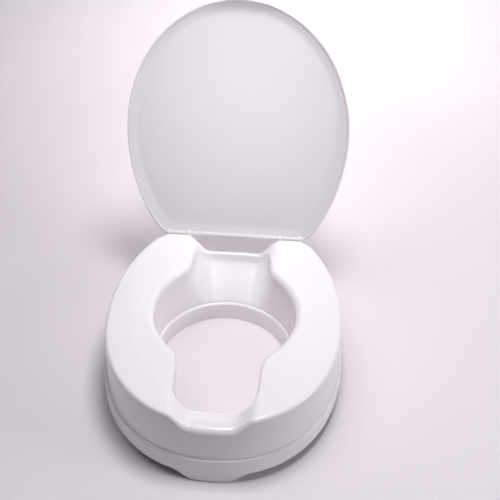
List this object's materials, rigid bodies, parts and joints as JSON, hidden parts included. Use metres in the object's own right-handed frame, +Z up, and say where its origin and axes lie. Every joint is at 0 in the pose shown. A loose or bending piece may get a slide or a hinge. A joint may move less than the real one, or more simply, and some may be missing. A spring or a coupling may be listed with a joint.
{
  "type": "raised toilet seat",
  "caption": "Moulded raised toilet seat with a keyhole opening, front and rear dips, a bowl collar, a hinged lid and two sliding clamps underneath.",
  "frame": {"origin": "middle of the collar's flat lower rim, which stands on the floor", "axes": "+Z up, +Y from the front of the seat to its hinge, +X across the seat"},
  "size_m": [0.3766, 0.4997, 0.5075],
  "materials": {
    "white_polypropylene": "glossy moulded",
    "white_clip_plastic": "satin moulded",
    "grey_rubber": "matt",
    "grey_knob_plastic": "fine grained",
    "stainless_steel": "bright turned"
  },
  "bodies": {
    "seat": {"seat_shell": "white_polypropylene", "bowl_collar": "white_polypropylene", "hinge_clip_left": "white_clip_plastic", "hinge_clip_right": "white_clip_plastic", "hinge_screws": "stainless_steel", "rail_screws": "stainless_steel", "rim_pad_rear_left": "grey_rubber", "rim_pad_rear_right": "grey_rubber", "rim_pad_front_left": "grey_rubber", "rim_pad_front_right": "grey_rubber", "clamp_rail_left": "white_clip_plastic", "clamp_rail_right": "white_clip_plastic"},
    "lid": {"lid": "white_polypropylene"},
    "clamp_left": {"clamp_bracket_left": "white_clip_plastic", "clamp_grip_left": "grey_rubber", "clamp_bolt_left": "stainless_steel", "clamp_washer_left": "stainless_steel"},
    "knob_left": {"clamp_knob_left": "grey_knob_plastic"},
    "clamp_right": {"clamp_bracket_right": "white_clip_plastic", "clamp_grip_right": "grey_rubber", "clamp_bolt_right": "stainless_steel", "clamp_washer_right": "stainless_steel"},
    "knob_right": {"clamp_knob_right": "grey_knob_plastic"}
  },
  "joints": [
    {"name": "lid_hinge", "type": "hinge", "parent": "seat", "child": "lid", "pos_m": [0, 0.187, 0.1215], "axis": [1, 0, 0], "range_deg": [0, 102.6]},
    {"name": "clamp_left_slide", "type": "slide", "parent": "seat", "child": "clamp_left", "axis": [1, 0, 0], "range_m": [0, 0.02]},
    {"name": "knob_left_turn", "type": "hinge", "parent": "clamp_left", "child": "knob_left", "pos_m": [0.139, 0, 0.036], "axis": [0, 0, 1], "continuous": true},
    {"name": "clamp_right_slide", "type": "slide", "parent": "seat", "child": "clamp_right", "axis": [-1, 0, 0], "range_m": [0, 0.02]},
    {"name": "knob_right_turn", "type": "hinge", "parent": "clamp_right", "child": "knob_right", "pos_m": [-0.139, 0, 0.036], "axis": [0, 0, 1], "continuous": true}
  ]
}
